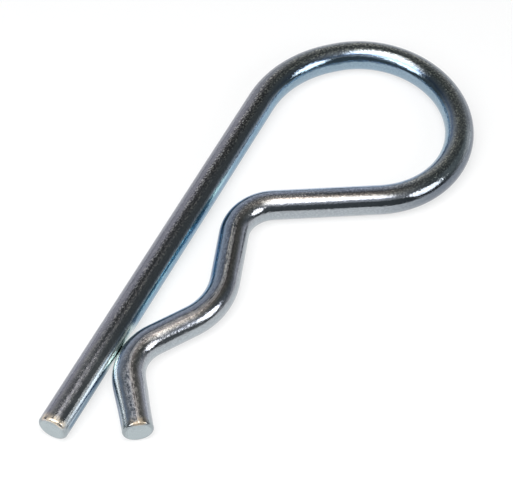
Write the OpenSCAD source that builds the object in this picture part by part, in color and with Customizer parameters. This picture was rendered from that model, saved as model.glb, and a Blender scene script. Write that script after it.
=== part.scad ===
// Hitch R clip: one length of round spring wire, bent in one plane.
//
// The straight leg goes through the cross hole of a shaft. The sprung leg comes back from
// the bow, rides over the outside of the shaft into its bay, and nips the straight leg
// again at its crest. A flared tip leads the shaft in.
//
// The origin is where the shaft's axis, Z, crosses the straight leg's axis, X. The bow is
// towards +X, the sprung leg is on the -Y side, and the wire's axis stays at Z = 0.

/* [Wire] */
// Diameter of the wire
wire_d = 5; // [2:0.1:8]
// Radius that rounds the rim of each sheared end
end_round = 0.5; // [0.1:0.1:0.9]

/* [Straight leg] */
// From the free end of the straight leg to the axis of the shaft
leg_reach = 34; // [30:0.5:90]

/* [Shaft bay] */
// Diameter of the shaft that the bay hugs at rest
shaft_d = 18.4; // [12:0.1:30]

/* [Neck, between the bow and the bay] */
// Gap between the neck and the straight leg
neck_gap = 3; // [0.5:0.1:5]
// Inside radius of the bend at the neck
neck_inside_r = 5; // [2:0.5:12]
// Straight run from the neck to the bay
neck_run = 9.5; // [2:0.5:20]

/* [Crest, which nips the straight leg] */
// Gap left between the crest and the straight leg at rest
nip_gap = 0.05; // [0.02:0.01:1]
// Inside radius of the bend at the crest
crest_inside_r = 5.5; // [2:0.5:12]
// Straight run from the bay to the crest
crest_run = 7; // [2:0.5:20]

/* [Flared tip] */
// Angle between the tip and the straight leg
flare_angle = 36.5; // [15:0.5:60]
// Length of the tip beyond the bend at the crest
tip_len = 9; // [3:0.5:20]

/* [Bow] */
// Straight run from the bow to the neck
return_run = 18; // [2:0.5:60]
// Inside radius of the bow
bow_inside_r = 13.7; // [8:0.1:30]
// Inside radius of the wider bend that opens the bow at the straight leg
opening_inside_r = 18; // [5:0.5:40]
// Angle of the bend that opens the bow
opening_turn = 47; // [10:1:80]
// Straight run from the opening bend to the bow
opening_run = 1; // [0.5:0.5:10]

/* [Hidden] */
$fn = 96;
wire_r = wire_d / 2;

// Bends are thicker than the straight runs by this radius, which is less than the wire's own
// tolerance, and the runs reach this far into them, so that the two fuse into one solid.
bend_swell = 0.01;
run_lap = 0.1;

// Radius of the wire's axis in each bend
bay_r = shaft_d / 2 + wire_r;
neck_r = neck_inside_r + wire_r;
crest_r = crest_inside_r + wire_r;
bow_r = bow_inside_r + wire_r;
opening_r = opening_inside_r + wire_r;

// Centre distance of two bends that turn opposite ways and are joined by a straight run
function spread(r_a, r_b, run) = norm([r_a + r_b, run]);

// Centre of a bend beside the bay, whose crown stays a gap away from the straight leg
function beside_bay(side, r, gap, run) =
    let (drop = wire_d + gap + r)
    [side * sqrt(spread(bay_r, r, run) ^ 2 - drop ^ 2), -drop];

// Centres of the bends. The bay is round the shaft, and the bow follows from the neck.
bay_at = [0, 0];
neck_at = beside_bay(1, neck_r, neck_gap, neck_run);
crest_at = beside_bay(-1, crest_r, nip_gap, crest_run);

// From the centre of the opening bend to the centre of the bow
bow_step = (opening_r - bow_r) * [sin(opening_turn), cos(opening_turn)]
    + opening_run * [cos(opening_turn), -sin(opening_turn)];
bow_y = bow_step.y - opening_r;
bow_at = [
    neck_at.x + sqrt(spread(bow_r, neck_r, return_run) ^ 2 - (bow_y - neck_at.y) ^ 2),
    bow_y
];
opening_at = bow_at - bow_step;

// Slope against the straight leg of the run that leaves bend a and crosses over to bend b.
// turn is 1 where bend a turns anticlockwise, seen from +Z, and -1 where it turns clockwise.
function slope(a, r_a, b, r_b, turn) =
    atan2(a.y - b.y, a.x - b.x) + turn * asin((r_a + r_b) / norm(a - b));

return_slope = slope(bow_at, bow_r, neck_at, neck_r, -1);
neck_slope = slope(neck_at, neck_r, bay_at, bay_r, 1);
crest_slope = slope(bay_at, bay_r, crest_at, crest_r, -1);

// Point of the wire's axis in a bend, at an angle round the bend's centre
function bend_point(at, r, angle) = at + r * [cos(angle), sin(angle)];

// The wire in a bend, from one angle round the bend's centre to another
module bend(at, r, from, to)
    translate(at)
    rotate([0, 0, from])
    rotate_extrude(angle = to - from)
    translate([r, 0])
    circle(wire_r + bend_swell);

// Places what stands on the XY plane so that it leaves point a for point b
module along(a, b)
    translate(a)
    rotate([0, 90, atan2(b.y - a.y, b.x - a.x)])
    children();

// A straight run from bend to bend
module run(a, b)
    along(a, b)
    translate([0, 0, -run_lap])
    cylinder(h = norm(b - a) + 2 * run_lap, r = wire_r);

// A straight run from bend a to a sheared end at b, whose rim is rounded
module end_run(a, b)
    along(a, b)
    rotate_extrude()
    difference() {
        translate([0, -run_lap])
        square([wire_r, norm(b - a) + run_lap]);
        translate([wire_r - end_round, norm(b - a) - end_round])
        difference() {
            square(wire_r);
            circle(end_round);
        }
    }

module straight_leg()
    end_run([opening_at.x, 0], [-leg_reach, 0]);

module bow() {
    bend(opening_at, opening_r, 90 - opening_turn, 90);
    run(
        bend_point(opening_at, opening_r, 90 - opening_turn),
        bend_point(bow_at, bow_r, 90 - opening_turn)
    );
    bend(bow_at, bow_r, return_slope - 90, 90 - opening_turn);
}

module sprung_leg() {
    run(
        bend_point(bow_at, bow_r, return_slope - 90),
        bend_point(neck_at, neck_r, return_slope + 90)
    );
    bend(neck_at, neck_r, return_slope + 90, neck_slope + 90);
    run(
        bend_point(neck_at, neck_r, neck_slope + 90),
        bend_point(bay_at, bay_r, neck_slope - 90)
    );
    bend(bay_at, bay_r, crest_slope - 90, neck_slope - 90);
    run(
        bend_point(bay_at, bay_r, crest_slope - 90),
        bend_point(crest_at, crest_r, crest_slope + 90)
    );
    bend(crest_at, crest_r, crest_slope + 90, flare_angle + 90);
}

module flared_tip() {
    tip_root = bend_point(crest_at, crest_r, flare_angle + 90);
    end_run(tip_root, tip_root - tip_len * [cos(flare_angle), sin(flare_angle)]);
}

module r_clip()
    color("silver") {
        straight_leg();
        bow();
        sprung_leg();
        flared_tip();
    }

r_clip();
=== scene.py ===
"""Looks of a hitch R clip: the bent wire with its zinc finish, and the studio it lies in."""

import math
from itertools import accumulate
from typing import NamedTuple

import bpy
from bpy.props import FloatProperty, FloatVectorProperty, IntProperty, PointerProperty
from mathutils import Matrix, Vector


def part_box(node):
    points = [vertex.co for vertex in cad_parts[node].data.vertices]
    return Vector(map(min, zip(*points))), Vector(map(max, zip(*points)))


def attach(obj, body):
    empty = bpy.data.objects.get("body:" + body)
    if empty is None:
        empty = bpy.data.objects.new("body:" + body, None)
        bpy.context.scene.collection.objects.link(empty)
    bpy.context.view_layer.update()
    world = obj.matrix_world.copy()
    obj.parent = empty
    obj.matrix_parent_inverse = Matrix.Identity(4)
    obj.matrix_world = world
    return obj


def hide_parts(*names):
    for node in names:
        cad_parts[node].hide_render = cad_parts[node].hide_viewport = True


bl_info = {
    "name": "Hitch R Clip",
    "version": (1, 0, 0),
    "blender": (4, 5, 0),
    "location": "View3D > Sidebar > Hitch R Clip",
    "description": "Builds a bent wire R clip with a bright zinc finish, and a studio round it",
    "category": "Add Mesh",
}

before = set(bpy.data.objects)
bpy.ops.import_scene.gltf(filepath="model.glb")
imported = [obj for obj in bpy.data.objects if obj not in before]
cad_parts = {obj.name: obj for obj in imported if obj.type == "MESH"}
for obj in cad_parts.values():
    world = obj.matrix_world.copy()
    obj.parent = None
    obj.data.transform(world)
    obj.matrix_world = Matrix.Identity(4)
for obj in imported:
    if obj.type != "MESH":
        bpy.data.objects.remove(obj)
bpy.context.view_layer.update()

CLIP_NODE = "r_clip"
FINISH_SLOT = "zinc_plated_wire"
PLACE = "wire_place"
BAKE_MAP = "OFBake"
MM = 0.001
UNTONED = (1.0, 1.0, 1.0)

# The large softbox: its middle, the ways its back faces and its long side runs, and its size. It
# fades in and out between these pairs of shares of its width and of its length.
KEY_PLACE = (-0.176, -0.052, 0.289)
KEY_BACK = (0.034, 0.173, 0.984)
KEY_UPPER = (0.855, -0.516, 0.061)
KEY_SIZE = (0.506, 0.79)
KEY_ACROSS = ((0.03, 0.17), (0.65, 0.46))
KEY_ALONG = ((0.0, 0.09), (0.80, 0.71))
KEY_SPILL = 0.09

# The small round softbox, which faces the clip: its middle and its diameter
SIDE_PLACE = (0.034, -0.303, 0.195)
SIDE_SIZE = (0.172,)

# The camera: its place, its turn about X, Y and Z in degrees, and its lens and film in millimetres
CAMERA_PLACE = (-0.168549, -0.081948, 0.264261)
CAMERA_TURN = (36.2544, -3.4128, -64.356)
CAMERA_LENS = 139.574
CAMERA_FILM = 36.0

FLOOR_HALF = 3.0
FLOOR_GAP = 0.01 * MM


# Sizes and colours


def length(name, description, default_mm, low_mm=0.1, high_mm=200.0):
    return FloatProperty(
        name=name, description=description, default=default_mm * MM, min=low_mm * MM,
        max=high_mm * MM, precision=5, subtype="DISTANCE", unit="LENGTH",
    )


def angle(name, description, default_deg, low_deg=-180.0, high_deg=180.0):
    return FloatProperty(
        name=name, description=description, default=math.radians(default_deg),
        min=math.radians(low_deg), max=math.radians(high_deg), subtype="ANGLE", unit="ROTATION",
    )


def share(name, description, default):
    return FloatProperty(
        name=name, description=description, default=default, min=0.0, max=1.0, subtype="FACTOR",
    )


def amount(name, description, default, high=20.0):
    return FloatProperty(name=name, description=description, default=default, min=0.0, max=high)


def colour(name, description, default):
    return FloatVectorProperty(
        name=name, description=description, default=default, size=3, min=0.0, max=1.0,
        subtype="COLOR",
    )


class WireSizes(bpy.types.PropertyGroup):
    """Sizes that the wire is bent to"""

    wire_d: length("Wire diameter", "Diameter of the wire", 5.0)
    end_round: length("End rounding", "Radius that rounds the rim of each sheared end", 0.5)
    leg_reach: length("Leg reach", "From the leg's free end to the shaft's axis", 34.0)
    shaft_d: length("Shaft diameter", "Diameter of the shaft that the bay hugs", 18.4)
    neck_gap: length("Neck gap", "Gap between the neck and the straight leg", 3.0)
    neck_inside_r: length("Neck radius", "Inside radius of the bend at the neck", 5.0)
    neck_run: length("Neck run", "Straight run from the neck to the bay", 9.5)
    nip_gap: length("Nip gap", "Gap between the crest and the leg at rest", 0.05, 0.01)
    crest_inside_r: length("Crest radius", "Inside radius of the bend at the crest", 5.5)
    crest_run: length("Crest run", "Straight run from the bay to the crest", 7.0)
    flare_angle: angle("Flare angle", "Angle between the tip and the straight leg", 36.5, 15, 60)
    tip_len: length("Tip length", "Length of the tip beyond the crest's bend", 9.0)
    crest_pinch: share("Crest pinch", "How much wider the bend at the crest left the wire", 0.085)
    pinch_reach: length("Pinch reach", "How far along the wire the widening spreads", 2.6, 0.5)
    return_run: length("Return run", "Straight run from the bow to the neck", 18.0)
    bow_inside_r: length("Bow radius", "Inside radius of the bow", 13.7)
    opening_inside_r: length("Opening radius", "Inside radius of the bend that opens the bow", 18.0)
    opening_turn: angle("Opening angle", "Angle of the bend that opens the bow", 47.0, 10, 80)
    opening_run: length("Opening run", "Straight run from the opening bend to the bow", 1.0)
    around: IntProperty(
        name="Sides", description="Facets around the wire", default=96, min=24, max=160,
    )
    ring_step: length("Ring spacing", "Distance between rings along the wire", 0.5, 0.2, 5.0)


class FinishSettings(bpy.types.PropertyGroup):
    """Colours and gloss of the zinc plating, with the tints of a painted reflection and a partly
    painted glint
    """

    # Golden tint laid only where the lamp glints on top of the rims: partly the sheared edge's own
    # tint, partly a painted highlight
    glint_gold: colour("Golden film", "Tint of the film on top of the sheared rims", (0.84, 0.72, 0.56))
    sheared: colour("Sheared faces", "Tint of the sheared faces", (0.40, 0.455, 0.475))
    scuffs: colour("Scuffs", "Tint of the scuffed crown", (0.58, 0.57, 0.55))
    # Tint of a painted reflection on the inner flank where the crest and the leg meet
    nip_reflection: colour("Rubbed film", "Tint where the crest rubs the leg", (0.78, 0.85, 0.84))
    gloss: share("Roughness", "Roughness of the drawn and plated wire", 0.05)


class StudioSettings(bpy.types.PropertyGroup):
    """Floor, surroundings and lamps"""

    floor_colour: colour("Floor", "Colour of the floor", (0.36, 0.36, 0.36))
    floor_glow: amount("Floor glow", "Light the white floor adds where it is seen", 0.64)
    wall: colour("Wall", "Light of the pale sweep behind the clip", (0.56, 0.56, 0.57))
    gloom: colour("Gloom", "Light of the dark room above and around", (0.095, 0.108, 0.113))
    key: amount("Key lamp", "Brightness of the large softbox", 4.0)
    side: amount("Side lamp", "Brightness of the small softbox", 4.0)


# The wire's line


def spread(r_a, r_b, run):
    """Centre distance of two bends that turn opposite ways and are joined by a straight run"""
    return math.hypot(r_a + r_b, run)


def wire_line(sizes):
    """The wire from the leg's free end to the tip's, as straight runs and (radius, turn) bends"""
    r = sizes.wire_d / 2
    bay_r, neck_r = sizes.shaft_d / 2 + r, sizes.neck_inside_r + r
    crest_r, bow_r = sizes.crest_inside_r + r, sizes.bow_inside_r + r
    opening_r, turn = sizes.opening_inside_r + r, sizes.opening_turn

    def beside_bay(side, bend_r, gap, run):
        drop = sizes.wire_d + gap + bend_r
        return Vector((side * math.sqrt(spread(bay_r, bend_r, run) ** 2 - drop ** 2), -drop))

    def slope(a, r_a, b, r_b, way):
        step = a - b
        return math.atan2(step.y, step.x) + way * math.asin((r_a + r_b) / step.length)

    bay = Vector((0, 0))
    neck = beside_bay(1, neck_r, sizes.neck_gap, sizes.neck_run)
    crest = beside_bay(-1, crest_r, sizes.nip_gap, sizes.crest_run)
    step = (opening_r - bow_r) * Vector((math.sin(turn), math.cos(turn)))
    step += sizes.opening_run * Vector((math.cos(turn), -math.sin(turn)))
    bow_y = step.y - opening_r
    reach = math.sqrt(spread(bow_r, neck_r, sizes.return_run) ** 2 - (bow_y - neck.y) ** 2)
    bow = Vector((neck.x + reach, bow_y))
    return_slope = slope(bow, bow_r, neck, neck_r, -1)
    neck_slope = slope(neck, neck_r, bay, bay_r, 1)
    crest_slope = slope(bay, bay_r, crest, crest_r, -1)
    return [
        sizes.leg_reach + bow.x - step.x,
        (opening_r, -turn),
        sizes.opening_run,
        (bow_r, return_slope + turn - math.pi),
        sizes.return_run,
        (neck_r, neck_slope - return_slope),
        sizes.neck_run,
        (bay_r, crest_slope - neck_slope),
        sizes.crest_run,
        (crest_r, sizes.flare_angle - crest_slope),
        sizes.tip_len,
    ]


def run_length(part):
    """Length of a straight run, or of the axis of a (radius, turn) bend"""
    return abs(part[0] * part[1]) if isinstance(part, tuple) else part


class Ends(NamedTuple):
    """How far along the wire each of its runs and bends ends, in millimetres"""

    leg: float
    opening: float
    opening_run: float
    bow: float
    return_run: float
    neck: float
    neck_run: float
    bay: float
    crest_run: float
    crest: float
    tip: float


def wire_ends(sizes):
    return Ends(*accumulate(run_length(part) / MM for part in wire_line(sizes)))


def stations(sizes):
    """(along, point, heading) of evenly spaced rings on the wire's axis"""
    point, heading, along = Vector((-sizes.leg_reach, 0)), 0.0, 0.0
    made = [(along, point.copy(), heading)]
    for part in wire_line(sizes):
        radius, turn = part if isinstance(part, tuple) else (None, 0.0)
        run = run_length(part)
        count = max(1, round(run / sizes.ring_step))
        for k in range(1, count + 1):
            at, facing = run * k / count, heading + turn * k / count
            if radius:
                side = math.copysign(radius, turn)
                offset = side * Vector((
                    math.sin(facing) - math.sin(heading), math.cos(heading) - math.cos(facing)
                ))
            else:
                offset = at * Vector((math.cos(heading), math.sin(heading)))
            made.append((along + at, point + offset, facing))
        along, point, heading = made[-1]
    return made


def sheared_end(sizes, steps=8, face_rings=6):
    """(depth behind the end face, radius) of the rings of an end, from the wall to the middle"""
    r, e = sizes.wire_d / 2, sizes.end_round
    rim = [
        (e * (1 - math.sin(t)), r - e * (1 - math.cos(t)))
        for t in (math.pi / 2 * k / steps for k in range(steps + 1))
    ]
    return rim + [(0.0, (r - e) * (1 - k / face_rings)) for k in range(1, face_rings)]


def end_rings(sizes, end, facing):
    """Rings of a sheared end. Facing is 1 at the wire's start and -1 at its end."""
    along, point, heading = end
    inward = facing * Vector((math.cos(heading), math.sin(heading)))
    return [
        (along + facing * depth, point + depth * inward, heading, radius)
        for depth, radius in sheared_end(sizes)
    ]


def build_wire(sizes):
    """The wire as one closed mesh, with its place on the straightened wire in millimetres"""
    line = stations(sizes)
    total, r, around = line[-1][0], sizes.wire_d / 2, sizes.around
    rings = end_rings(sizes, line[0], 1)[::-1]
    rings += [(*s, r) for s in line if sizes.end_round < s[0] < total - sizes.end_round]
    rings += end_rings(sizes, line[-1], -1)
    corners, places = [], []
    for along, point, heading, radius in rings:
        off_crest = (total - sizes.tip_len - along) / sizes.pinch_reach
        left = Vector((-math.sin(heading), math.cos(heading)))
        left *= 1 + sizes.crest_pinch * math.exp(-off_crest ** 2 / 2)
        for k in range(around):
            t = math.tau * k / around
            across, up = radius * math.cos(t), radius * math.sin(t)
            corners.append((*(point + across * left), up))
            places.append((along / MM, across / MM, up / MM))
    faces = [
        (i * around + k, i * around + (k + 1) % around,
         (i + 1) * around + (k + 1) % around, (i + 1) * around + k)
        for i in range(len(rings) - 1) for k in range(around)
    ]
    last = (len(rings) - 1) * around
    for end, first, flip in ((line[0], 0, True), (line[-1], last, False)):
        middle = len(corners)
        corners.append((*end[1], 0.0))
        places.append((end[0] / MM, 0.0, 0.0))
        for k in range(around):
            pair = (first + k, first + (k + 1) % around)
            faces.append((middle, *(pair[::-1] if flip else pair)))
    mesh = bpy.data.meshes.new(FINISH_SLOT)
    mesh.from_pydata(corners, [], faces)
    mesh.polygons.foreach_set("use_smooth", [True] * len(faces))
    mesh.attributes.new(PLACE, "FLOAT_VECTOR", "POINT").data.foreach_set(
        "vector", [number for place in places for number in place]
    )
    cap_r = sizes.wire_d / 2 - 0.9 * sizes.end_round
    unroll(mesh, places, around, total / MM, sizes.wire_d / MM, cap_r / MM)
    mesh.update()
    return mesh


def unroll(mesh, places, around, total, wire_d, cap_r, strips=4, margin=0.6):
    """A map for baking: the wall unrolled in strips side by side, and the two end faces, whose
    corners all lie within cap_r of the axis"""
    strip_len, girth = total / strips, math.pi * wire_d
    side = max(strips * (girth + margin) + margin, strip_len + 3 * margin + wire_d)
    layer = mesh.uv_layers.new(name=BAKE_MAP)
    for polygon in mesh.polygons:
        loops = list(polygon.loop_indices)
        owners = [mesh.loops[i].vertex_index for i in loops]
        spots = [places[v] for v in owners]
        middle = sum(s[0] for s in spots) / len(spots)
        if all(math.hypot(s[1], s[2]) < cap_r for s in spots):
            top = middle > total / 2
            for i, s in zip(loops, spots):
                layer.data[i].uv = (
                    (side - margin - wire_d / 2 + s[1]) / side,
                    (margin + wire_d / 2 + s[2] + top * (wire_d + margin)) / side,
                )
            continue
        strip = min(int(middle / strip_len), strips - 1)
        turns = [v % around for v in owners]
        wraps = max(turns) - min(turns) > 1
        for i, s, turn in zip(loops, spots, turns):
            lap = around if wraps and turn == 0 else turn
            layer.data[i].uv = (
                (margin + s[0] - strip * strip_len) / side,
                (margin + strip * (girth + margin) + girth * lap / around) / side,
            )


# Shading written as expressions


class Number:
    """A number that varies over a surface. Operators add Math nodes to its graph."""

    def __init__(self, graph, socket):
        self.graph, self.socket = graph, socket

    def __add__(self, other):
        return self.graph.math("ADD", self, other)

    def __sub__(self, other):
        return self.graph.math("SUBTRACT", self, other)

    def __rsub__(self, other):
        return self.graph.math("SUBTRACT", other, self)

    def __mul__(self, other):
        return self.graph.math("MULTIPLY", self, other)

    def __truediv__(self, other):
        return self.graph.math("DIVIDE", self, other)

    def __rtruediv__(self, other):
        return self.graph.math("DIVIDE", other, self)

    def __abs__(self):
        return self.graph.math("ABSOLUTE", self)

    __radd__ = __add__
    __rmul__ = __mul__


class Graph:
    """A node tree that is written from Python"""

    def __init__(self, tree):
        self.tree = tree
        tree.nodes.clear()

    def node(self, kind, settings=None, sockets=None):
        """Adds a node: its settings first, a ramp's stops among them, and then its sockets"""
        node = self.tree.nodes.new(kind)
        for name, value in (settings or {}).items():
            if name == "stops":
                self.set_stops(node.color_ramp, value)
            else:
                setattr(node, name, value)
        for name, value in (sockets or {}).items():
            self.feed(self.find(node.inputs, name), value)
        return node

    @staticmethod
    def set_stops(ramp, stops):
        while len(ramp.elements) < len(stops):
            ramp.elements.new(1.0)
        for element, (position, shade) in zip(ramp.elements, stops):
            element.position, element.color = position, (*shade, 1.0)

    @staticmethod
    def find(sockets, name):
        if isinstance(name, int):
            return sockets[name]
        return next(s for s in sockets if s.enabled and s.name == name)

    def feed(self, socket, value):
        if isinstance(value, Number):
            value = value.socket
        if isinstance(value, bpy.types.NodeSocket):
            self.tree.links.new(value, socket)
        elif hasattr(value, "__len__") and socket.type == "RGBA":
            socket.default_value = (*value, 1.0)
        else:
            socket.default_value = value

    def out(self, node, name=0):
        return self.find(node.outputs, name)

    def number(self, node, name=0):
        return Number(self, self.out(node, name))

    def math(self, operation, *values):
        node = self.node("ShaderNodeMath", {"operation": operation}, dict(enumerate(values)))
        return self.number(node)

    def ramp(self, value, low, high):
        """0 where value is low, 1 where it is high, and smooth between"""
        node = self.node(
            "ShaderNodeMapRange", {"interpolation_type": "SMOOTHSTEP"},
            {"Value": value, "From Min": low, "From Max": high},
        )
        return self.number(node, "Result")

    def mix(self, factor, a, b, clamped=True):
        """Colour a where factor is 0, colour b where it is 1, and beyond b above that if it
        isn't clamped"""
        node = self.node(
            "ShaderNodeMix", {"data_type": "RGBA", "clamp_factor": clamped},
            {"Factor": factor, "A": a, "B": b},
        )
        return self.out(node, "Result")

    def scaled(self, vector, scale):
        node = self.node(
            "ShaderNodeVectorMath", {"operation": "MULTIPLY"}, {0: vector, 1: scale}
        )
        return self.out(node, "Vector")

    def toned(self, tint, mask, tone, clamped=True):
        """The tint multiplied by tone where mask is 1"""
        return self.scaled(tint, self.mix(mask, UNTONED, tone, clamped))

    def noise(self, vector, detail, roughness):
        node = self.node(
            "ShaderNodeTexNoise", {},
            {"Vector": vector, "Scale": 1.0, "Detail": detail, "Roughness": roughness},
        )
        return self.number(node)


# The zinc finish


class WireSurface:
    """Where a point lies on the wire, and the patterns that the finish is drawn with"""

    def __init__(self, graph, sizes):
        self.graph, self.ends = graph, wire_ends(sizes)
        spot = graph.node("ShaderNodeAttribute", {"attribute_name": PLACE})
        self.place = graph.out(spot, "Vector")
        parts = graph.node("ShaderNodeSeparateXYZ", {}, {"Vector": self.place})
        self.along, across, up = (graph.number(parts, axis) for axis in "XYZ")
        self.r, self.end_round = sizes.wire_d / MM / 2, sizes.end_round / MM
        self.spoke = graph.math("SQRT", across * across + up * up)

        # -1 inside the loop to 1 outside it, and -1 under the wire to 1 on its crown
        self.outward, self.crown = across / self.r, up / self.r

        self.cloud = self.pattern((0.06, 0.3, 0.3), 2.0, 0.5)
        self.mottle = self.pattern((1.1, 2.0, 2.0), 3.0, 0.65)
        self.grain = self.pattern((2.6, 3.6, 3.6), 2.0, 0.6)
        self.lines = self.pattern((0.22, 7.0, 7.0), 2.0, 0.5)
        self.patches = self.pattern((0.35, 0.8, 0.8), 2.0, 0.6)

        # Stretches of the wire: beyond the leg, on it, on the sprung leg, and near the free end
        self.bent = self.fade(self.ends.leg - 6.6, self.ends.leg + 13.4)
        self.on_leg = 1.0 - self.bent
        self.sprung = self.fade(self.ends.bow - 10.5, self.ends.bow + 3.5)
        self.leg_end = self.fade(24.0, 12.0)

    def pattern(self, per_mm, detail, roughness):
        """Noise, with its turns per millimetre along, across and up the straightened wire"""
        return self.graph.noise(self.graph.scaled(self.place, per_mm), detail, roughness)

    def fade(self, start, full):
        """0 up to one place along the wire and 1 from the other on, in millimetres"""
        return self.graph.ramp(self.along, start, full)

    def near(self, middle, reach, core):
        """1 within core of a place along the wire, 0 beyond reach of it, in millimetres"""
        return self.graph.ramp(abs(self.along - middle), reach, core)

    def beside(self, line, reach, core):
        """1 within core of a line along the wire, 0 beyond reach of it, in shares of outward"""
        return self.graph.ramp(abs(self.outward - line), reach, core)


def film_and_painted_light(w):
    """The film's tint round the leg, the bow and the sprung leg, with painted light and shade
    bands, and a painted reflection line in the leg
    """
    g, ends = w.graph, w.ends
    film = 0.5 * w.outward + 0.5 + (w.cloud - 0.5) * 0.12 + (w.mottle - 0.5) * 0.08

    def round_wire(*stops):
        """Tints from the inside of the loop, at 0, to its outside, at 1"""
        return g.out(g.node("ShaderNodeValToRGB", {"stops": stops}, {"Fac": film}), "Color")

    # Tints round the wire. The blue inside and the silver to lilac outside are the film's own
    # colour. The darker and lighter bands between the stops are painted shade and painted
    # reflections, set where the lamps, the sweep and the gloom fall; the bow's dark stop at 0.18 is
    # a painted shade just below its highlight.
    leg = round_wire(
        (0.0, (0.19, 0.297, 0.395)), (0.05, (0.235, 0.365, 0.49)), (0.10, (0.365, 0.445, 0.535)),
        (0.17, (0.28, 0.33, 0.39)), (0.24, (0.34, 0.35, 0.37)), (0.42, (0.34, 0.34, 0.365)),
        (0.55, (0.475, 0.465, 0.505)), (0.64, (0.36, 0.365, 0.425)), (0.73, (0.40, 0.405, 0.475)),
        (0.81, (0.25, 0.262, 0.315)), (0.90, (0.20, 0.21, 0.25)),
    )
    bow = round_wire(
        (0.0, (0.27, 0.365, 0.445)), (0.10, (0.25, 0.355, 0.46)), (0.15, (0.30, 0.37, 0.45)),
        (0.18, (0.15, 0.22, 0.34)), (0.25, (0.32, 0.37, 0.43)), (0.40, (0.39, 0.41, 0.41)),
        (0.55, (0.33, 0.35, 0.36)), (0.68, (0.34, 0.38, 0.42)), (0.76, (0.25, 0.28, 0.32)),
        (0.88, (0.17, 0.195, 0.235)),
    )
    sprung = round_wire(
        (0.0, (0.11, 0.16, 0.24)), (0.06, (0.12, 0.20, 0.33)), (0.13, (0.28, 0.40, 0.57)),
        (0.19, (0.34, 0.45, 0.61)), (0.26, (0.34, 0.405, 0.51)), (0.35, (0.39, 0.455, 0.59)),
        (0.46, (0.45, 0.48, 0.59)), (0.53, (0.52, 0.46, 0.46)), (0.60, (0.40, 0.35, 0.32)),
        (0.68, (0.38, 0.36, 0.34)), (0.80, (0.46, 0.49, 0.57)), (0.90, (0.34, 0.36, 0.39)),
        (1.0, (0.37, 0.41, 0.44)),
    )
    tint = g.mix(w.sprung, g.mix(w.bent, leg, bow), sprung)
    # Painted reflection: a light cyan line on the inner flank of the leg, where the sprung leg is
    # mirrored
    painted_reflection_line = g.ramp(w.outward, -0.72, -0.83) * g.ramp(w.outward, -0.95, -0.87)
    painted_reflection_line = painted_reflection_line * w.fade(20.0, 28.0) * w.fade(ends.leg - 14.6, ends.leg - 26.6)
    return g.mix(painted_reflection_line, tint, (0.56, 0.94, 1.0))


def local_tint_and_painted_light(w, tint, finish):
    """Tint that differs in single places: painted shade under the leg's free end, painted
    reflections near both ends, where the crest and the leg meet and on the bow, and lighter worn
    patches beside the crown at the leg's end
    """
    g, ends, outward = w.graph, w.ends, w.outward
    rest_on_leg, rest_on_crest = 18.0, ends.crest - 5.5
    # Painted shade: a dark tint low on the inner flank near the leg's free end, where the shadowed
    # floor is mirrored
    shaded = w.fade(24.0, 16.0) * g.ramp(outward, -0.92, -0.96)
    tint = g.mix(shaded * 0.6, tint, (0.07, 0.11, 0.15))
    # Painted reflection: a pale streak on the inner flank near both free ends
    painted_end_streak = w.fade(17.0, 12.0) + w.fade(ends.tip - 12.0, ends.tip - 8.0)
    painted_end_streak = painted_end_streak * g.ramp(outward, -0.60, -0.72) * g.ramp(outward, -0.98, -0.86)
    tint = g.mix(painted_end_streak, tint, (0.74, 0.80, 0.84))
    # Painted reflection: a pale greenish tint on the inner flank where the crest and the leg meet
    nip_reflection = w.near(rest_on_leg, 6.0, 3.0) + w.near(rest_on_crest, 6.0, 3.0)
    tint = g.mix(nip_reflection * g.ramp(outward, -0.70, -0.80) * 0.9, tint, finish.nip_reflection[:])
    # Painted reflection: a lighter bluish band on the bow's outer flank, where the pale sweep is
    # mirrored
    sweep_reflection = w.near(ends.bow - 16.5, 8.0, 3.0) * g.ramp(outward, 0.24, 0.40)
    tint = g.mix(sweep_reflection * g.ramp(outward, 0.84, 0.52), tint, (0.60, 0.67, 0.72))
    handled = w.fade(22.0, 12.0) * g.ramp(abs(abs(outward + 0.13) - 0.33), 0.26, 0.12)
    handled = handled * (0.35 + 0.65 * g.ramp(w.patches, 0.36, 0.60))
    return g.mix(handled * 0.8, tint, (0.60, 0.60, 0.61))


def scuff_spread(w):
    """How widely scuffs spread on the crown: most on the leg and the tip, half on the crest run"""
    ends = w.ends
    crest_run = w.fade(ends.neck_run + 2.2, ends.bay + 4.1)
    tip = w.fade(ends.tip - 12.0, ends.tip - 8.0)
    return w.on_leg + crest_run * 0.5 + tip * 0.5


def crown_scuffs(w, spread):
    """Scuffs near both ends, streaks along the sprung leg, and marks of rollers on its bends"""
    g, ends = w.graph, w.ends
    crowned = g.ramp(w.crown, 0.0, 0.5)
    top = w.beside(0.06 * w.on_leg - 0.06, 0.42 + 0.14 * spread, 0.16 + 0.12 * spread) * crowned
    worn = w.fade(22.0, 10.0) * 0.75 + w.fade(ends.tip - 20.0, ends.tip - 10.0)
    scuffed = (0.3 + 0.7 * g.ramp(w.mottle, 0.32, 0.70)) * top * worn

    streak = w.beside((w.cloud - 0.5) * 0.3, 0.24, 0.06) * crowned
    streak = streak * w.fade(ends.bow + 3.5, ends.bow + 13.5)
    streak = streak * g.ramp(w.lines * 0.6 + w.mottle * 0.4, 0.36, 0.54)
    streak = streak * (1.0 + 0.7 * w.near((ends.neck + ends.neck_run) / 2, 8.0, 4.0))

    bends = w.near(ends.return_run + 3.5, 6.0, 3.0) + w.near(ends.crest_run + 3.1, 7.0, 3.0)
    bends = bends + w.near(ends.bow - 8.5, 8.0, 4.0) * 0.6
    rolled = w.beside(0.42, 0.40, 0.15) * bends * g.ramp(w.mottle, 0.36, 0.56) * 0.7
    return g.math("MAXIMUM", scuffed, g.math("MAXIMUM", streak, rolled))


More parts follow.
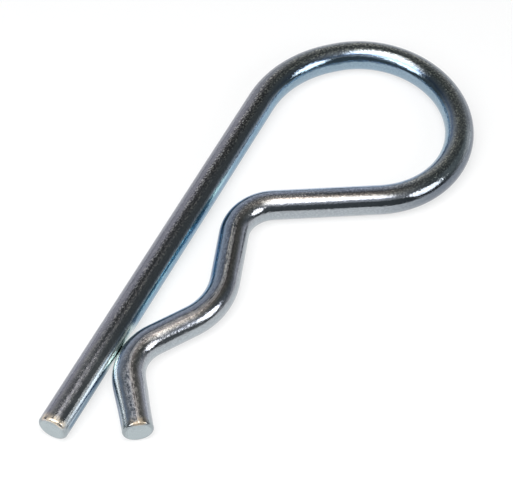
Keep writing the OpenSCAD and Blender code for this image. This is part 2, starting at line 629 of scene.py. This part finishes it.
def speckle(w):
    """How strongly specks show: most on the crown of the upper leg and the bow, in patches"""
    g, ends = w.graph, w.ends
    worn_smooth = w.sprung * 0.50 + w.fade(ends.neck_run - 3.8, ends.neck_run + 4.2) * 0.3
    calm = g.math("MAXIMUM", worn_smooth, w.leg_end * 0.75)
    patchy = 0.45 + 0.75 * g.ramp(w.patches, 0.34, 0.62)
    crowned = w.beside(-0.02, 0.48 - 0.08 * w.on_leg, 0.22)
    lively = 0.80 + w.on_leg * (0.55 * w.fade(ends.leg - 32.6, ends.leg - 16.6) - 0.14)
    return 0.15 + lively * crowned * patchy * (1.0 - calm)


def painted_inner_reflections(w):
    """Where painted reflections lie: soft pale bands on the inner side of both ends"""
    at_ends = w.fade(22.0, 12.0) + w.fade(w.ends.tip - 14.0, w.ends.tip - 8.0)
    return at_ends * w.beside(-0.76, 0.18, 0.08)


def wear_and_painted_light(w, tint, finish, scuffed, speckled, painted_reflection_band):
    """The tint with its scuffs and specks, a painted edge of light and shade beside the leg's
    crown, painted shade beside the sprung leg's crown, and the painted reflection bands
    """
    g, ends = w.graph, w.ends
    tint = g.mix(scuffed * (0.10 + 0.50 * w.sprung), tint, finish.scuffs[:])
    tint = g.toned(tint, scuffed * w.on_leg, (0.66, 0.66, 0.70))

    bright = g.mix(w.sprung, (2.0, 1.90, 1.66), (1.90, 1.86, 1.76))
    speck = g.mix(g.ramp(w.grain, 0.42, 0.66), (0.68, 0.67, 0.67), bright)
    tint = g.toned(tint, speckled, speck, clamped=False)

    # Painted light and shade: lighter outside and darker inside a ragged line beside the leg's
    # crown, the edge of the mirrored pale sweep
    painted_edge = w.outward + (w.mottle - 0.5) * 0.6 + (w.grain - 0.5) * 0.5
    painted_edge = g.mix(g.ramp(painted_edge, 0.02, 0.15), (0.66, 0.65, 0.65), (1.36, 1.36, 1.38))
    tint = g.toned(tint, w.beside(0.09, 0.36, 0.14) * w.on_leg * (1.0 - w.leg_end), painted_edge)

    # Painted shade: a darker stripe just outside the crown, from the neck to the crest, that
    # narrows the highlight there
    painted_shade_beside_crown = w.fade(ends.neck - 4.3, ends.neck + 1.7)
    painted_shade_beside_crown = painted_shade_beside_crown * w.fade(ends.crest_run + 5.1, ends.crest_run + 1.1) * w.beside(0.10, 0.14, 0.04)
    tint = g.toned(tint, painted_shade_beside_crown, (0.60, 0.60, 0.62))
    # Painted reflection: the pale bands on the inner side of both ends
    return g.mix(painted_reflection_band * 0.5, tint, (0.46, 0.47, 0.47))


def sheared_ends(w, tint, rough, finish):
    """Tint and roughness with the pale, dull end faces, painted shade on the lower part of their
    rims, and a golden glint on top of them that is partly painted
    """
    g, ends = w.graph, w.ends
    face = g.ramp(w.spoke, w.r - 0.7 * w.end_round, w.r - 1.1 * w.end_round)
    at_ends = g.math("MAXIMUM", w.fade(1.7, 0.5), w.fade(ends.tip - 1.7, ends.tip - 0.5))
    # Painted shade: a darker tint on the lower part of each rim, where it mirrors the white floor
    low = g.ramp(w.crown, 0.75 + 0.2 * w.sprung, 0.35 + 0.35 * w.sprung)
    tint = g.mix(at_ends * low, tint, (0.33, 0.37, 0.39))
    # Partly painted highlight: the golden tint lies only on top of each rim, where the lamp glints,
    # and is dimmed at the tip
    rim = at_ends * g.ramp(w.mottle, 0.3, 0.55)
    rim = rim * g.ramp(w.crown, 0.45 + 0.3 * w.sprung, 0.8 + 0.15 * w.sprung)
    tint = g.mix(rim * 0.8, tint, finish.glint_gold[:])
    tint = g.toned(tint, rim * w.sprung, (0.60, 0.57, 0.53))
    tint = g.mix(face, tint, finish.sheared[:])
    return tint, rough + face * 0.12 + rim * 0.20


def zinc_material(sizes, finish):
    """Blue-bright zinc: the film goes from silver outside the loop to blue inside it, with painted
    light, shade, reflections and glints laid on its tint
    """
    material = bpy.data.materials.new(FINISH_SLOT)
    material.use_nodes = True
    g = Graph(material.node_tree)
    w = WireSurface(g, sizes)
    spread = scuff_spread(w)
    scuffed, speckled, painted_reflection_band = crown_scuffs(w, spread), speckle(w), painted_inner_reflections(w)

    tint = local_tint_and_painted_light(w, film_and_painted_light(w), finish)
    tint = wear_and_painted_light(w, tint, finish, scuffed, speckled, painted_reflection_band)
    rough = finish.gloss + w.near(w.ends.bay - 2.9, 10.0, 5.0) * 0.08 + painted_reflection_band * 0.22
    rough = rough + scuffed * (0.22 + 0.11 * spread)
    rough = rough + speckled * g.ramp(w.grain, 0.54, 0.70) * 0.15
    tint, rough = sheared_ends(w, tint, rough, finish)

    height = w.grain * 0.4 + w.mottle + w.lines * 0.35
    height = height * (1.0 - 0.5 * w.leg_end - 0.2 * w.sprung) * (1.0 - 0.7 * painted_reflection_band)
    bump = g.node(
        "ShaderNodeBump", {}, {"Strength": 1.0, "Distance": 0.03 * MM, "Height": height}
    )
    shader = g.node(
        "ShaderNodeBsdfPrincipled", {},
        {"Base Color": tint, "Metallic": 1.0, "Roughness": rough, "Normal": g.out(bump, "Normal")},
    )
    g.node("ShaderNodeOutputMaterial", {}, {"Surface": g.out(shader, "BSDF")})
    return material


# The studio


def floor_material(studio):
    """A pale floor that takes shadows, and shows white to the eye and in the metal"""
    material = bpy.data.materials.new("studio_floor")
    material.use_nodes = True
    g = Graph(material.node_tree)
    path = g.node("ShaderNodeLightPath")
    seen = g.math(
        "MAXIMUM",
        g.math("MAXIMUM", g.number(path, "Is Camera Ray"), g.number(path, "Is Glossy Ray")),
        g.number(path, "Is Transmission Ray"),
    )
    paper = g.node(
        "ShaderNodeBsdfDiffuse", {}, {"Color": studio.floor_colour[:], "Roughness": 0.0}
    )
    glow = g.node(
        "ShaderNodeEmission", {},
        {"Color": (1.0, 1.0, 1.0), "Strength": seen * studio.floor_glow},
    )
    both = g.node("ShaderNodeAddShader", {}, {0: g.out(paper), 1: g.out(glow)})
    g.node("ShaderNodeOutputMaterial", {}, {"Surface": g.out(both)})
    return material


def towards(azimuth_deg, elevation_deg):
    """Unit vector to a place in the studio. Azimuth 0 is along +X and 90 along +Y."""
    a, e = math.radians(azimuth_deg), math.radians(elevation_deg)
    return Vector((math.cos(a) * math.cos(e), math.sin(a) * math.cos(e), math.sin(e)))


def room_light(studio):
    """A dark room with a pale sweep beyond the bow, tallest to one side, that fades upwards"""
    world = bpy.data.worlds.new("studio_room")
    world.use_nodes = True
    bpy.context.scene.world = world
    g = Graph(world.node_tree)
    way = g.out(g.node("ShaderNodeTexCoord"), "Generated")
    parts = g.node("ShaderNodeSeparateXYZ", {}, {"Vector": way})
    beyond, height = g.number(parts, "X"), g.number(parts, "Z")
    aside = g.number(
        g.node("ShaderNodeVectorMath", {"operation": "DOT_PRODUCT"},
               {0: way, 1: tuple(towards(50, 0))}),
        "Value",
    )
    top = aside * 0.65 + 0.55
    sweep = g.ramp(height / top, 1.0, 0.0) * g.ramp(beyond, -0.35, 0.15)
    light = g.mix(sweep, studio.gloom[:], studio.wall[:])
    light = g.node("ShaderNodeBackground", {}, {"Color": light, "Strength": 1.0})
    g.node("ShaderNodeOutputWorld", {}, {"Surface": g.out(light)})


def soften_edges(lamp, across, along, spill):
    """Lets a rectangular softbox fade out at its edges, across it and along it, between these
    pairs of shares of its size. Spill is how bright the cloth beyond those edges stays."""
    lamp.use_nodes = True
    g = Graph(lamp.node_tree)
    spot = g.node("ShaderNodeNewGeometry")
    parts = g.node("ShaderNodeSeparateXYZ", {}, {"Vector": g.out(spot, "Parametric")})
    x, y = g.number(parts, "X"), g.number(parts, "Y")
    lit = g.ramp(x, *across[0]) * g.ramp(x, *across[1])
    lit = lit * g.ramp(y, *along[0]) * g.ramp(y, *along[1])
    cloth = g.ramp(x, 0.0, 0.1) * g.ramp(x, 1.0, 0.8) * g.ramp(y, 0.0, 0.1) * g.ramp(y, 0.93, 0.70)
    glow = g.node(
        "ShaderNodeEmission", {},
        {"Color": (1.0, 1.0, 1.0), "Strength": g.math("MAXIMUM", lit, cloth * spill)},
    )
    g.node("ShaderNodeOutputLight", {}, {"Surface": g.out(glow)})


def add_lamp(name, place, back, upper, size, radiance):
    """A rectangular or round softbox at place. Back is the way its back faces, and upper the
    way its long side runs; radiance is its brightness as seen."""
    lamp = bpy.data.lights.new(name, "AREA")
    if len(size) == 2:
        lamp.shape, lamp.size, lamp.size_y = "RECTANGLE", size[0], size[1]
        area = size[0] * size[1]
    else:
        lamp.shape, lamp.size = "DISK", size[0]
        area = math.pi * size[0] ** 2 / 4
    lamp.energy = radiance * math.pi * area
    back = Vector(back).normalized()
    across = Vector(upper).cross(back).normalized()
    ob = bpy.data.objects.new(name, lamp)
    ob.matrix_world = Matrix((across, back.cross(across), back)).transposed().to_4x4()
    ob.location = place
    ob.visible_camera = False
    bpy.context.scene.collection.objects.link(ob)
    return lamp


def add_camera():
    """The camera, which looks down on the lying clip from beyond the free ends"""
    camera = bpy.data.cameras.new("camera")
    camera.sensor_width, camera.lens = CAMERA_FILM, CAMERA_LENS
    camera.clip_start, camera.clip_end = 0.01, 20.0
    ob = bpy.data.objects.new("camera", camera)
    ob.location = CAMERA_PLACE
    ob.rotation_euler = [math.radians(turn) for turn in CAMERA_TURN]
    bpy.context.scene.collection.objects.link(ob)
    bpy.context.scene.camera = ob


# Operators


class HITCHCLIP_OT_wire(bpy.types.Operator):
    """Bend the wire and give it its zinc finish"""

    bl_idname = "hitchclip.wire"
    bl_label = "Wire"

    def execute(self, context):
        sizes, finish = context.scene.wire_sizes, context.scene.wire_finish
        mesh = build_wire(sizes)
        wire = bpy.data.objects.new("bent_wire", mesh)
        context.scene.collection.objects.link(wire)
        mesh.materials.append(zinc_material(sizes, finish))
        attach(wire, "root")
        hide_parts(CLIP_NODE)
        return {"FINISHED"}


class HITCHCLIP_OT_studio(bpy.types.Operator):
    """Set up the floor, the room, the lamps and the camera"""

    bl_idname = "hitchclip.studio"
    bl_label = "Studio"

    def execute(self, context):
        studio, scene = context.scene.studio, context.scene
        scene.view_settings.view_transform = "Standard"
        floor_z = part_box(CLIP_NODE)[0].z - FLOOR_GAP
        corners = ((-1, -1), (1, -1), (1, 1), (-1, 1))
        mesh = bpy.data.meshes.new("floor")
        mesh.from_pydata(
            [(x * FLOOR_HALF, y * FLOOR_HALF, floor_z) for x, y in corners], [], [(0, 1, 2, 3)],
        )
        mesh.materials.append(floor_material(studio))
        floor = bpy.data.objects.new("floor", mesh)
        scene.collection.objects.link(floor)
        room_light(studio)
        key = add_lamp("key_softbox", KEY_PLACE, KEY_BACK, KEY_UPPER, KEY_SIZE, studio.key)
        soften_edges(key, KEY_ACROSS, KEY_ALONG, KEY_SPILL)
        add_lamp("side_softbox", SIDE_PLACE, SIDE_PLACE, (0, 0, 1), SIDE_SIZE, studio.side)
        add_camera()
        return {"FINISHED"}


class HITCHCLIP_PT_panel(bpy.types.Panel):
    """The clip's sizes, finish and studio"""

    bl_idname = "HITCHCLIP_PT_panel"
    bl_label = "Hitch R Clip"
    bl_space_type = "VIEW_3D"
    bl_region_type = "UI"
    bl_category = "Hitch R Clip"

    def draw(self, context):
        for label, group, operator in (
            ("Wire", context.scene.wire_sizes, HITCHCLIP_OT_wire),
            ("Finish", context.scene.wire_finish, None),
            ("Studio", context.scene.studio, HITCHCLIP_OT_studio),
        ):
            box = self.layout.box()
            box.label(text=label)
            for name in group.__annotations__:
                box.prop(group, name)
            if operator:
                box.operator(operator.bl_idname)


CLASSES = (
    WireSizes, FinishSettings, StudioSettings,
    HITCHCLIP_OT_wire, HITCHCLIP_OT_studio, HITCHCLIP_PT_panel,
)


def register():
    for cls in CLASSES:
        bpy.utils.register_class(cls)
    bpy.types.Scene.wire_sizes = PointerProperty(type=WireSizes)
    bpy.types.Scene.wire_finish = PointerProperty(type=FinishSettings)
    bpy.types.Scene.studio = PointerProperty(type=StudioSettings)


def unregister():
    del bpy.types.Scene.studio
    del bpy.types.Scene.wire_finish
    del bpy.types.Scene.wire_sizes
    for cls in reversed(CLASSES):
        bpy.utils.unregister_class(cls)


def main():
    register()
    bpy.ops.hitchclip.wire()
    bpy.ops.hitchclip.studio()


if __name__ == "__main__":
    main()
